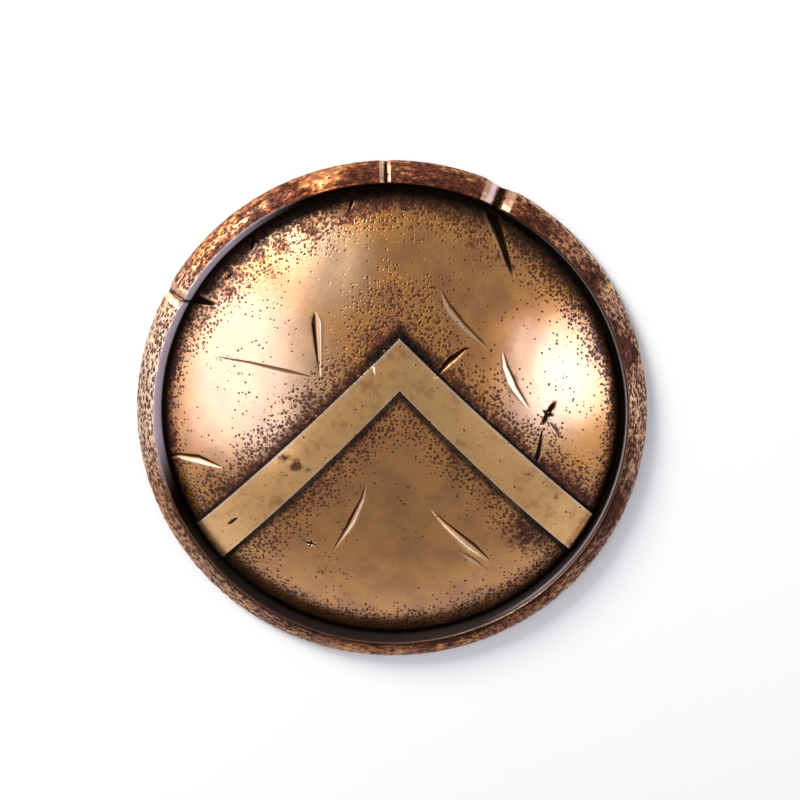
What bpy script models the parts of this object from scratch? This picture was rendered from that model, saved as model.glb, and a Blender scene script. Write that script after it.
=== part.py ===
"""Round hoplite shield: a domed bronze shell with a moulded rim and a raised chevron, and inside it
an arm band and a leather hand grip on rivets. It lies face up on its rim.

Metres, +Z up. The origin is at the middle of the rim's underside, +Z points out of the face, and
+Y points to the tip of the chevron."""
import math

import bmesh
import bpy
from mathutils import Matrix, Vector

# Shell: sheet, rim moulding and dome
SHIELD_RADIUS = 0.3048
SHEET = 0.002
RIM_RUN = 0.023
RIM_RISE = 0.0185
RIM_HALF_TURN = math.radians(24.0)
RIM_FACE_STEPS = 4
CREST_CORNER = 0.0015
RIM_WALL_RUN = 0.0055
RIM_WALL_DROP = 0.020
GROOVE_WIDTH = 0.0015
GROOVE_CLEARANCE = 0.003
EDGE_ROUND = 0.0012
FLANGE_WIDTH = 0.011
DOME_RISE = 0.069
DOME_RINGS = 10
SHELL_SEGMENTS = 72

# Raised chevron, pressed up out of the dome
CHEVRON_RISE = 0.006
CHEVRON_OFFSET = 0.0105
CHEVRON_TIP = 0.108
CHEVRON_CROTCH = 0.050
CHEVRON_OUTER_SLOPE = math.radians(44.2)
CHEVRON_INNER_SLOPE = math.radians(45.9)
CHEVRON_STEEP_RUN = 0.0025
CHEVRON_COVE_RUN = 0.0075
CHEVRON_END_RUN = 0.003

# Battle dents: place as shares of the dome's radius, heading in degrees, length, width and depth
DENTS = (
    (-0.29, 0.37, 93.0, 0.073, 0.008, 0.0022),
    (0.31, 0.49, 127.0, 0.079, 0.008, 0.0020),
    (0.28, 0.31, 42.0, 0.046, 0.009, 0.0024),
    (0.53, 0.23, 114.0, 0.072, 0.010, 0.0024),
    (0.69, 0.07, 50.0, 0.026, 0.013, 0.0034),
    (0.66, -0.08, 87.0, 0.036, 0.009, 0.0026),
    (-0.84, -0.17, -5.0, 0.070, 0.010, 0.0028),
    (-0.15, -0.40, 68.0, 0.090, 0.007, 0.0020),
    (-0.33, -0.52, -20.0, 0.030, 0.010, 0.0028),
    (0.32, -0.48, -46.0, 0.107, 0.010, 0.0028),
    (0.38, -0.61, -38.0, 0.042, 0.007, 0.0020),
    (0.46, 0.83, 107.0, 0.092, 0.015, 0.0036),
    (-0.80, 0.54, 158.0, 0.056, 0.014, 0.0034),
)

# Rim notches: bearing and half spread in degrees, share of the height and depth of the bite
RIM_NOTCHES = (
    (65.0, 4.0, 0.42, 0.0035),
    (149.5, 2.6, 0.34, 0.0025),
    (91.3, 1.3, 0.22, 0.0012),
)

# Arm band: a bronze strip that follows the dome and stands off it in a loop for the forearm
SEAT_GAP = 0.0005
ARM_BAND_WIDTH = 0.044
ARM_BAND_SHEET = 0.002
ARM_BAND_REACH = 0.152
ARM_LOOP_SPAN = 0.108
ARM_LOOP_DEPTH = 0.060
ARM_BEND_RADIUS = 0.008
ARM_RIVET_INSET = 0.012
ARM_RIVET_EDGE = 0.011

# Hand grip: a leather strap bowed off the dome near the rim
GRIP_DISTANCE = 0.185
GRIP_WIDTH = 0.025
GRIP_THICKNESS = 0.0035
GRIP_BOW_SPAN = 0.116
GRIP_RISE_RUN = 0.026
GRIP_FOOT = 0.020
GRIP_FINGER_GAP = 0.032

# Rivets: brazed studs, peened over into domed heads
RIVET_SHANK_RADIUS = 0.002
RIVET_HEAD_RADIUS = 0.005
RIVET_HEAD_RISE = 0.0026
RIVET_HOLE_CLEARANCE = 0.0004
RIVET_SEGMENTS = 10
RIVET_HEAD_STEPS = 3

# Finishes: colour, roughness and metallic value
BRONZE = ((0.40, 0.22, 0.09), 0.34, 1.0)
OLD_BRONZE = ((0.24, 0.14, 0.07), 0.48, 1.0)
LEATHER = ((0.13, 0.06, 0.03), 0.62, 0.0)

# Levels and radii that follow from the sizes above
GROOVE_Z = GROOVE_CLEARANCE + SHEET
CREST_Z = GROOVE_Z + RIM_WALL_DROP
EDGE_Z = CREST_Z - RIM_RISE
CREST_RADIUS = SHIELD_RADIUS - RIM_RUN
GROOVE_RADIUS = CREST_RADIUS - CREST_CORNER - RIM_WALL_RUN
DOME_RADIUS = GROOVE_RADIUS - GROOVE_WIDTH
DOME_SPHERE = (DOME_RADIUS ** 2 + DOME_RISE ** 2) / (2.0 * DOME_RISE)
DOME_CENTRE = Vector((0.0, 0.0, GROOVE_Z + DOME_RISE - DOME_SPHERE))
INSIDE_SPHERE = DOME_SPHERE - SHEET


def clear_scene():
    for obj in list(bpy.data.objects):
        bpy.data.objects.remove(obj, do_unlink=True)


def finish_material(name, finish):
    colour, roughness, metallic = finish
    material = bpy.data.materials.new(name)
    material.use_nodes = True
    shader = material.node_tree.nodes["Principled BSDF"]
    shader.inputs["Base Color"].default_value = (*colour, 1.0)
    shader.inputs["Roughness"].default_value = roughness
    shader.inputs["Metallic"].default_value = metallic
    return material


def add_piece(name, bm, material, sharp_degrees=32.0):
    mesh = bpy.data.meshes.new(name)
    bm.to_mesh(mesh)
    bm.free()
    mesh.materials.append(material)
    mesh.shade_smooth()
    mesh.set_sharp_from_angle(angle=math.radians(sharp_degrees))
    piece = bpy.data.objects.new(name, mesh)
    bpy.context.scene.collection.objects.link(piece)
    return piece


def clamp(value):
    return max(0.0, min(1.0, value))


def arc_points(start, end, half_turn, steps):
    """Points after start of an arc to end that bulges to the left of its chord."""
    chord = end - start
    radius = chord.length / (2.0 * math.sin(half_turn))
    normal = Vector((-chord.y, chord.x)).normalized()
    centre = (start + end) / 2.0 - normal * radius * math.cos(half_turn)
    first = start - centre
    points = []
    for step in range(1, steps + 1):
        turn = -2.0 * half_turn * step / steps
        turned = Vector((first.x * math.cos(turn) - first.y * math.sin(turn),
                         first.x * math.sin(turn) + first.y * math.cos(turn)))
        points.append(centre + turned)
    return points


def front_profile():
    """Radius and height down the face, from the top of the dome out to the edge."""
    foot_turn = math.asin(DOME_RADIUS / DOME_SPHERE)
    end_turn = math.asin((DOME_RADIUS - CHEVRON_END_RUN) / DOME_SPHERE)
    turns = [foot_turn * ring / DOME_RINGS for ring in range(DOME_RINGS)] + [end_turn, foot_turn]
    profile = [Vector((DOME_SPHERE * math.sin(turn), DOME_CENTRE.z + DOME_SPHERE * math.cos(turn)))
               for turn in turns]
    profile.append(Vector((GROOVE_RADIUS, GROOVE_Z)))
    profile.append(Vector((CREST_RADIUS - CREST_CORNER, CREST_Z - CREST_CORNER)))
    crest = Vector((CREST_RADIUS, CREST_Z))
    profile.append(crest)
    edge = Vector((SHIELD_RADIUS, EDGE_Z))
    profile.extend(arc_points(crest, edge, RIM_HALF_TURN, RIM_FACE_STEPS))
    return profile


def back_profile(front):
    """The face's profile moved in by the sheet, with mitred corners."""
    normals = []
    for here, after in zip(front, front[1:]):
        run = (after - here).normalized()
        normals.append(Vector((-run.y, run.x)))
    back = []
    for index, point in enumerate(front):
        before = normals[max(index - 1, 0)]
        after = normals[min(index, len(normals) - 1)]
        back.append(point - (before + after) * SHEET / (1.0 + before.dot(after)))
    back[0].x = 0.0
    return back


def shell_profile():
    """The whole section: down the face, round the turned-under flange and up the inside."""
    front = front_profile()
    flange_radius = SHIELD_RADIUS - EDGE_ROUND - FLANGE_WIDTH
    flange = [Vector((SHIELD_RADIUS, EDGE_ROUND)), Vector((SHIELD_RADIUS - EDGE_ROUND, 0.0)),
              Vector((flange_radius, 0.0)), Vector((flange_radius, SHEET)),
              Vector((SHIELD_RADIUS - SHEET, SHEET))]
    return front + flange + back_profile(front)[::-1]


def chevron_distances(x, y, inset):
    """Distances outside the chevron's outer and inner top edges, both moved in by inset."""
    across = abs(x - CHEVRON_OFFSET)
    outer_line = CHEVRON_TIP - math.tan(CHEVRON_OUTER_SLOPE) * across
    inner_line = CHEVRON_CROTCH - math.tan(CHEVRON_INNER_SLOPE) * across
    return ((y - outer_line) * math.cos(CHEVRON_OUTER_SLOPE) + inset[0],
            (inner_line - y) * math.cos(CHEVRON_INNER_SLOPE) + inset[1])


def hollow_insets():
    """How far the hollow behind the chevron is inset, so that its walls keep the sheet's thickness."""
    steep = math.atan2(CHEVRON_RISE, CHEVRON_STEEP_RUN)
    cove = math.atan2(CHEVRON_RISE, CHEVRON_COVE_RUN)
    return (SHEET * math.tan(steep / 2.0), SHEET * math.tan(cove / 2.0))


def dent_frame(dent):
    """A dent's middle and its unit vectors along and across."""
    share_x, share_y, heading = dent[:3]
    middle = Vector((share_x * DOME_RADIUS, share_y * DOME_RADIUS))
    along = Vector((math.cos(math.radians(heading)), math.sin(math.radians(heading))))
    return middle, along, Vector((-along.y, along.x))


def relief(x, y, inset):
    """Height of the chevron less the depth of the dents, fading out at the dome's foot."""
    outside, inside = chevron_distances(x, y, inset)
    height = CHEVRON_RISE * min(clamp(1.0 - outside / CHEVRON_STEEP_RUN),
                                clamp(1.0 - inside / CHEVRON_COVE_RUN))
    for dent in DENTS:
        middle, along, across = dent_frame(dent)
        length, width, depth = dent[3:]
        offset = Vector((x, y)) - middle
        reach = abs(offset.dot(along)) * 2.0 / length + abs(offset.dot(across)) * 2.0 / width
        height -= depth * clamp(1.0 - reach)
    return height * clamp((DOME_RADIUS - math.hypot(x, y)) / CHEVRON_END_RUN)


def is_front(point):
    return (point - DOME_CENTRE).length > DOME_SPHERE - SHEET / 2.0


def cut(bm, point, normal, chosen):
    """Splits the faces whose middle is chosen along an upright plane."""
    faces = [face for face in bm.faces if chosen(face.calc_center_median())]
    edges = {edge for face in faces for edge in face.edges}
    verts = {vert for face in faces for vert in face.verts}
    bmesh.ops.bisect_plane(bm, geom=[*verts, *edges, *faces], dist=1e-6,
                           plane_co=(point[0], point[1], 0.0), plane_no=(normal[0], normal[1], 0.0))


def cut_chevron(bm):
    """Edges along the chevron's mid line, its top edges and its feet, on the face and the back."""
    cut(bm, (CHEVRON_OFFSET, 0.0), (1.0, 0.0),
        lambda middle: 0.0 < middle.y < CHEVRON_TIP * 1.2 and abs(middle.x) < CHEVRON_TIP)
    edges = ((CHEVRON_TIP, CHEVRON_OUTER_SLOPE, 1.0, CHEVRON_STEEP_RUN, 0),
             (CHEVRON_CROTCH, CHEVRON_INNER_SLOPE, -1.0, CHEVRON_COVE_RUN, 1))
    for front, inset in ((True, (0.0, 0.0)), (False, hollow_insets())):
        for side in (-1.0, 1.0):
            for height, slope, outward, run, which in edges:
                normal = (side * math.sin(slope), math.cos(slope))
                for foot in (0.0, run):
                    shift = outward * (foot - inset[which]) / math.cos(slope)
                    cut(bm, (CHEVRON_OFFSET, height + shift), normal,
                        lambda middle: is_front(middle) == front
                        and side * (middle.x - CHEVRON_OFFSET) > 0.0
                        and math.hypot(middle.x, middle.y) < DOME_RADIUS)


def cut_dents(bm):
    """Edges along each dent's long and short middle lines and its four sides."""
    margin = DOME_RADIUS / DOME_RINGS / 2.0
    for dent in DENTS:
        middle, along, across = dent_frame(dent)
        half_length, half_width = dent[3] / 2.0, dent[4] / 2.0

        def near(point):
            offset = Vector((point.x, point.y)) - middle
            return (abs(offset.dot(along)) < half_length + margin / 2.0
                    and abs(offset.dot(across)) < half_width + margin
                    and math.hypot(point.x, point.y) < DOME_RADIUS)

        cut(bm, middle, across, near)
        cut(bm, middle, along, near)
        for end in (-1.0, 1.0):
            for side in (-1.0, 1.0):
                tip = middle + along * half_length * end
                normal = along * end / half_length + across * side / half_width

                def in_quarter(point):
                    offset = Vector((point.x, point.y)) - middle
                    return (near(point) and offset.dot(along) * end > 0.0
                            and offset.dot(across) * side > 0.0)

                cut(bm, tip, normal.normalized(), in_quarter)


def cut_notches(bm):
    """Edges down the rim through each notch's middle and both its ends."""
    for bearing, spread, _, _ in RIM_NOTCHES:
        for turn in (bearing - spread, bearing, bearing + spread):
            normal = (-math.sin(math.radians(turn)), math.cos(math.radians(turn)))
            heading = Vector((math.cos(math.radians(bearing)), math.sin(math.radians(bearing))))
            spread_reach = math.cos(math.radians(spread + 360.0 / SHELL_SEGMENTS))

            def in_notch(point):
                flat = Vector((point.x, point.y))
                return flat.length > DOME_RADIUS and flat.dot(heading) > flat.length * spread_reach

            cut(bm, (0.0, 0.0), normal, in_notch)


def notch_amounts(x, y):
    """Share of the height lost, and the bite out of the edge, at a place on the rim."""
    bearing_here = math.degrees(math.atan2(y, x))
    lost, bite = 0.0, 0.0
    for bearing, spread, share, depth in RIM_NOTCHES:
        away = abs((bearing_here - bearing + 180.0) % 360.0 - 180.0)
        amount = clamp(1.0 - away / spread)
        lost = max(lost, share * amount)
        bite = max(bite, depth * amount)
    return lost, bite


def press_rim(vert):
    """Beats the rim down and in where it is notched."""
    radius = math.hypot(vert.co.x, vert.co.y)
    lost, bite = notch_amounts(vert.co.x, vert.co.y)
    vert.co.z *= 1.0 - lost * clamp((radius - DOME_RADIUS) / (CREST_RADIUS - DOME_RADIUS))
    inward = 1.0 - bite / radius * clamp((radius - CREST_RADIUS) / RIM_RUN)
    vert.co.x *= inward
    vert.co.y *= inward


def build_shell(material):
    bm = bmesh.new()
    points = shell_profile()
    verts = [bm.verts.new((point.x, 0.0, point.y)) for point in points]
    edges = [bm.edges.new(pair) for pair in zip(verts, verts[1:])]
    bmesh.ops.spin(bm, geom=[*verts, *edges], cent=(0.0, 0.0, 0.0), axis=(0.0, 0.0, 1.0),
                   angle=2.0 * math.pi, steps=SHELL_SEGMENTS, use_merge=True)
    bmesh.ops.remove_doubles(bm, verts=bm.verts, dist=1e-6)
    cut_chevron(bm)
    cut_dents(bm)
    cut_notches(bm)
    bmesh.ops.triangulate(bm, faces=bm.faces, quad_method="FIXED", ngon_method="BEAUTY")
    back_inset = hollow_insets()
    for vert in bm.verts:
        if math.hypot(vert.co.x, vert.co.y) < DOME_RADIUS:
            inset = (0.0, 0.0) if is_front(vert.co) else back_inset
            vert.co.z += relief(vert.co.x, vert.co.y, inset)
        else:
            press_rim(vert)
    bmesh.ops.recalc_face_normals(bm, faces=bm.faces)
    return add_piece("shield_shell", bm, material)


class Seat:
    """A place on the dome's inside: the middle of a strap, its run and its breadth."""

    def __init__(self, bearing, distance, run):
        tilt = math.asin(distance / INSIDE_SPHERE)
        self.out = Vector((math.sin(tilt) * math.cos(bearing), math.sin(tilt) * math.sin(bearing),
                           math.cos(tilt)))
        self.along = (run - self.out * run.dot(self.out)).normalized()
        self.across = self.along.cross(self.out)

    def direction(self, run, breadth):
        turn, lean = run / INSIDE_SPHERE, breadth / INSIDE_SPHERE
        return ((self.out * math.cos(turn) + self.along * math.sin(turn)) * math.cos(lean)
                + self.across * math.sin(lean))

    def point(self, run, depth, breadth):
        """The place that lies run along, breadth across and depth in from the dome's inside."""
        return DOME_CENTRE + self.direction(run, breadth) * (INSIDE_SPHERE - depth)

    def frame(self, run, breadth):
        """Axes at the dome's inside, with Z pointing in, away from the sheet."""
        inward = -self.direction(run, breadth)
        side = self.along.cross(inward).normalized()
        axes = Matrix((side.cross(inward), side, inward)).transposed().to_4x4()
        return Matrix.Translation(self.point(run, 0.0, breadth)) @ axes


def strap_piece(name, seat, path, width, thickness, material):
    """A strip of even thickness along a path of run and depth, middled on the seat."""
    columns = 2
    bm = bmesh.new()
    bmesh.ops.create_grid(bm, x_segments=len(path) - 1, y_segments=columns, size=0.5)
    for vert in bm.verts:
        run, depth = path[round((vert.co.x + 0.5) * (len(path) - 1))]
        vert.co = seat.point(run, depth, vert.co.y * width)
    strap = add_piece(name, bm, material)
    wall = strap.modifiers.new("thickness", "SOLIDIFY")
    wall.thickness = thickness
    wall.offset = 0.0
    wall.use_even_offset = True
    return strap


def arm_band_path():
    """Half the strip runs flat on the dome, bends off it and swings round the loop's half oval."""
    flat = SEAT_GAP + ARM_BAND_SHEET / 2.0
    half_span = (ARM_LOOP_SPAN + ARM_BAND_SHEET) / 2.0
    swing = ARM_LOOP_DEPTH + ARM_BAND_SHEET / 2.0 - flat - ARM_BEND_RADIUS
    bend_run = half_span + ARM_BEND_RADIUS
    half = [(ARM_BAND_REACH + (bend_run - ARM_BAND_REACH) * step / 4.0, flat) for step in range(4)]
    for step in range(4):
        turn = math.pi / 2.0 * step / 4.0
        half.append((bend_run - ARM_BEND_RADIUS * math.sin(turn),
                     flat + ARM_BEND_RADIUS * (1.0 - math.cos(turn))))
    for step in range(7):
        turn = math.pi / 2.0 * step / 7.0
        half.append((half_span * math.cos(turn), flat + ARM_BEND_RADIUS + swing * math.sin(turn)))
    lowest = (0.0, flat + ARM_BEND_RADIUS + swing)
    return half + [lowest] + [(-run, depth) for run, depth in half[::-1]]


def grip_path():
    """A flat foot, an S-bend off the dome, a straight handle at the finger gap, and the same back."""
    flat = SEAT_GAP + GRIP_THICKNESS / 2.0
    bow = GRIP_FINGER_GAP + GRIP_THICKNESS / 2.0 - flat
    half_span = GRIP_BOW_SPAN / 2.0
    half = [(half_span + GRIP_FOOT * (1.0 - step / 2.0), flat) for step in range(2)]
    for step in range(7):
        share = step / 6.0
        half.append((half_span - GRIP_RISE_RUN * share,
                     flat + bow * (0.5 - 0.5 * math.cos(math.pi * share))))
    return half + [(0.0, flat + bow)] + [(-run, depth) for run, depth in half[::-1]]


def rivet_piece(name, seat, run, breadth, strap_thickness, material):
    """A shank through the strap and a domed head on it."""
    head_seat = SEAT_GAP + strap_thickness + SEAT_GAP
    profile = [(0.0, SEAT_GAP), (RIVET_SHANK_RADIUS, SEAT_GAP), (RIVET_SHANK_RADIUS, head_seat)]
    for step in range(RIVET_HEAD_STEPS):
        turn = math.pi / 2.0 * step / RIVET_HEAD_STEPS
        profile.append((RIVET_HEAD_RADIUS * math.cos(turn),
                        head_seat + RIVET_HEAD_RISE * math.sin(turn)))
    profile.append((0.0, head_seat + RIVET_HEAD_RISE))
    bm = bmesh.new()
    verts = [bm.verts.new((radius, 0.0, height)) for radius, height in profile]
    edges = [bm.edges.new(pair) for pair in zip(verts, verts[1:])]
    bmesh.ops.spin(bm, geom=[*verts, *edges], cent=(0.0, 0.0, 0.0), axis=(0.0, 0.0, 1.0),
                   angle=2.0 * math.pi, steps=RIVET_SEGMENTS, use_merge=True)
    bmesh.ops.remove_doubles(bm, verts=bm.verts, dist=1e-6)
    bmesh.ops.recalc_face_normals(bm, faces=bm.faces)
    bm.transform(seat.frame(run, breadth))
    return add_piece(name, bm, material)


def drill(strap, seat, places, thickness, material):
    """Clearance holes through a strap at its rivets' places."""
    bm = bmesh.new()
    radius = RIVET_SHANK_RADIUS + RIVET_HOLE_CLEARANCE
    depth = 4.0 * thickness
    for run, breadth in places:
        turn = seat.frame(run, breadth) @ Matrix.Translation((0.0, 0.0, SEAT_GAP + thickness / 2.0))
        bmesh.ops.create_cone(bm, cap_ends=True, segments=RIVET_SEGMENTS, radius1=radius,
                              radius2=radius, depth=depth, matrix=turn)
    cutter = add_piece(strap.name + "_holes", bm, material)
    cutter.hide_render = True
    cutter.display_type = "WIRE"
    holes = strap.modifiers.new("rivet holes", "BOOLEAN")
    holes.operation = "DIFFERENCE"
    holes.object = cutter


def build_arm_band(band_material, rivet_material):
    seat = Seat(0.0, 0.0, Vector((0.0, 1.0, 0.0)))
    band = strap_piece("arm_band", seat, arm_band_path(), ARM_BAND_WIDTH, ARM_BAND_SHEET,
                       band_material)
    run = ARM_BAND_REACH - ARM_RIVET_INSET
    breadth = ARM_BAND_WIDTH / 2.0 - ARM_RIVET_EDGE
    places = [(end * run, side * breadth) for end in (1, -1) for side in (-1, 1)]
    drill(band, seat, places, ARM_BAND_SHEET, band_material)
    for number, place in enumerate(places, 1):
        rivet_piece(f"arm_rivet_{number}", seat, *place, ARM_BAND_SHEET, rivet_material)


def build_hand_grip(leather, rivet_material):
    seat = Seat(math.pi, GRIP_DISTANCE, Vector((0.0, 1.0, 0.0)))
    grip = strap_piece("hand_grip", seat, grip_path(), GRIP_WIDTH, GRIP_THICKNESS, leather)
    run = (GRIP_BOW_SPAN + GRIP_FOOT) / 2.0
    places = [(run, 0.0), (-run, 0.0)]
    drill(grip, seat, places, GRIP_THICKNESS, leather)
    for number, place in enumerate(places, 1):
        rivet_piece(f"grip_rivet_{number}", seat, *place, GRIP_THICKNESS, rivet_material)


def main():
    clear_scene()
    bronze = finish_material("antique_bronze", BRONZE)
    old_bronze = finish_material("dark_bronze", OLD_BRONZE)
    leather = finish_material("brown_leather", LEATHER)
    build_shell(bronze)
    build_arm_band(old_bronze, bronze)
    build_hand_grip(leather, bronze)


main()
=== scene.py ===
"""Looks of the round hoplite shield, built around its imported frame.

The sections follow the order in which such a shield is put together: the worked bronze shell with its
finish, the arm band, the hand grip and their rivets, then the studio. Metres, in the frame of the
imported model: the shield lies face up, +Z out of its face and +Y to the tip of its chevron."""
import math

import bmesh
import bpy
import numpy as np
from mathutils import Matrix, Vector


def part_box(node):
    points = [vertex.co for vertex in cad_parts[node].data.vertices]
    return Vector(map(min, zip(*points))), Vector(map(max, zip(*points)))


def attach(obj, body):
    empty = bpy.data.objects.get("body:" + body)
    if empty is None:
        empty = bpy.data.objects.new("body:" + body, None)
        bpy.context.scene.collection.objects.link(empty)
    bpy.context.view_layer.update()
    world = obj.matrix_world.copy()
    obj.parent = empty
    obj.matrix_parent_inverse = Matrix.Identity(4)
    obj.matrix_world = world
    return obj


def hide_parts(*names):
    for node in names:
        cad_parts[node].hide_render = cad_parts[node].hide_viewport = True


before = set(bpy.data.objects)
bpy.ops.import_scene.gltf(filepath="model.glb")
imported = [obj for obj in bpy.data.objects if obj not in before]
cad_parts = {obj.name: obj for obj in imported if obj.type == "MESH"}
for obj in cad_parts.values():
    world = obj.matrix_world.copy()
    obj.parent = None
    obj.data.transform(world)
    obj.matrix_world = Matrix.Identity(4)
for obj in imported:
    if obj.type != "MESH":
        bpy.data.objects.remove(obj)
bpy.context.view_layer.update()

# Shell: the sheet
# The shield's body is one sheet of bronze. It is sunk to a shallow dome, its border is raised to a
# rounded rim, and the rim's edge is turned under to a flat flange on which the shield lies.
SHEET = 0.002
RIM_RUN = 0.023
RIM_RISE = 0.0185
RIM_HALF_TURN = math.radians(24.0)
CREST_CORNER = 0.0015
RIM_WALL_RUN = 0.0055
RIM_WALL_DROP = 0.020
GROOVE_WIDTH = 0.0015
GROOVE_CLEARANCE = 0.003
EDGE_ROUND = 0.0012
FLANGE_WIDTH = 0.011
DOME_RISE = 0.069
FACE_CELLS = 168
BACK_CELLS = 84
FACE_STEP = 0.0021
BACK_STEP = 0.0045
MERGE_REACH = 1e-5

shell_low, shell_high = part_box("shield_shell")
SHIELD_RADIUS = (shell_high[0] - shell_low[0]) / 2.0
GROOVE_Z = GROOVE_CLEARANCE + SHEET
CREST_Z = GROOVE_Z + RIM_WALL_DROP
EDGE_Z = CREST_Z - RIM_RISE
CREST_RADIUS = SHIELD_RADIUS - RIM_RUN
GROOVE_RADIUS = CREST_RADIUS - CREST_CORNER - RIM_WALL_RUN
DOME_RADIUS = GROOVE_RADIUS - GROOVE_WIDTH
DOME_SPHERE = (DOME_RADIUS ** 2 + DOME_RISE ** 2) / (2.0 * DOME_RISE)
DOME_CENTRE = Vector((0.0, 0.0, GROOVE_Z + DOME_RISE - DOME_SPHERE))
INSIDE_SPHERE = DOME_SPHERE - SHEET


def dome_grid(bm, cells, sphere, foot_radius):
    """A square grid laid on the dome as rings that grow by eight faces each."""
    made = bmesh.ops.create_grid(bm, x_segments=cells, y_segments=cells, size=1.0)
    for vert in made["verts"]:
        across, along = vert.co.x, vert.co.y
        share = max(abs(across), abs(along))
        if share < 1e-9:
            turn = 0.0
        elif abs(across) > abs(along):
            turn = math.pi / 4.0 * along / across + (math.pi if across < 0.0 else 0.0)
        else:
            turn = math.pi / 2.0 - math.pi / 4.0 * across / along + (math.pi if along < 0.0 else 0.0)
        radius = share * foot_radius
        height = DOME_CENTRE.z + math.sqrt(sphere ** 2 - radius ** 2)
        vert.co = (radius * math.cos(turn), radius * math.sin(turn), height)


face = bmesh.new()
dome_grid(face, FACE_CELLS, DOME_SPHERE, DOME_RADIUS)

# Shell: the chevron's lines
# A broad chevron is pressed up out of the dome from behind: its outer sides stand steep and crisp,
# its inner sides sweep down in a hollow cove, and its legs run out to the groove.
CHEVRON_RISE = 0.006
CHEVRON_OFFSET = 0.0105
CHEVRON_TIP = 0.108
CHEVRON_CROTCH = 0.050
CHEVRON_OUTER_SLOPE = math.radians(44.2)
CHEVRON_INNER_SLOPE = math.radians(45.9)
CHEVRON_STEEP_RUN = 0.0025
CHEVRON_COVE_RUN = 0.0075
CHEVRON_END_RUN = 0.003
OUTER_LINES = (-0.0012, 0.0, 0.0008, 0.0016, 0.0025, 0.0034)
INNER_LINES = (-0.0014, 0.0, 0.0010, 0.0022, 0.0036, 0.0052, 0.0068, 0.0084)
LINE_SNAP = 0.0003


def chevron_distances(x, y):
    """Distances outside the chevron's outer brow and inside its inner brow."""
    across = np.abs(x - CHEVRON_OFFSET)
    outer_line = CHEVRON_TIP - math.tan(CHEVRON_OUTER_SLOPE) * across
    inner_line = CHEVRON_CROTCH - math.tan(CHEVRON_INNER_SLOPE) * across
    return ((y - outer_line) * math.cos(CHEVRON_OUTER_SLOPE),
            (inner_line - y) * math.cos(CHEVRON_INNER_SLOPE))


def with_corners(faces):
    return [*{vert for item in faces for vert in item.verts},
            *{edge for item in faces for edge in item.edges}, *faces]


def split_on_line(bm, geometry, start, normal):
    """Splits faces on an upright plane, draws the new points onto it and returns all the geometry."""
    cut = bmesh.ops.bisect_plane(bm, geom=geometry, dist=LINE_SNAP, plane_co=(*start, 0.0),
                                 plane_no=(*normal, 0.0))
    for item in cut["geom_cut"]:
        if isinstance(item, bmesh.types.BMVert):
            item.co.xy -= normal * (item.co.xy - start).dot(normal)
    return cut["geom"]


def split_chevron(bm):
    """Edges along the chevron's mid line, its brows, its walls and its feet."""
    reach = 0.012
    mid_line = Vector((CHEVRON_OFFSET, 0.0))
    near = [item for item in bm.faces if abs(item.calc_center_median().x - CHEVRON_OFFSET) < reach
            and 0.0 < item.calc_center_median().y < CHEVRON_TIP + reach]
    split_on_line(bm, with_corners(near), mid_line, Vector((1.0, 0.0)))
    lines = ((CHEVRON_TIP, CHEVRON_OUTER_SLOPE, 1.0, OUTER_LINES),
             (CHEVRON_CROTCH, CHEVRON_INNER_SLOPE, -1.0, INNER_LINES))
    for which, (height, slope, outward, offsets) in enumerate(lines):
        for side in (-1.0, 1.0):
            near = []
            for item in bm.faces:
                middle = item.calc_center_median()
                off_line = chevron_distances(middle.x, middle.y)[which]
                if abs(off_line - 0.003) < reach and side * (middle.x - CHEVRON_OFFSET) > 0.0:
                    near.append(item)
            geometry = with_corners(near)
            for offset in offsets:
                start = Vector((CHEVRON_OFFSET, height + outward * offset / math.cos(slope)))
                normal = Vector((side * math.sin(slope), math.cos(slope)))
                geometry = split_on_line(bm, geometry, start, normal)


split_chevron(face)

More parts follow.
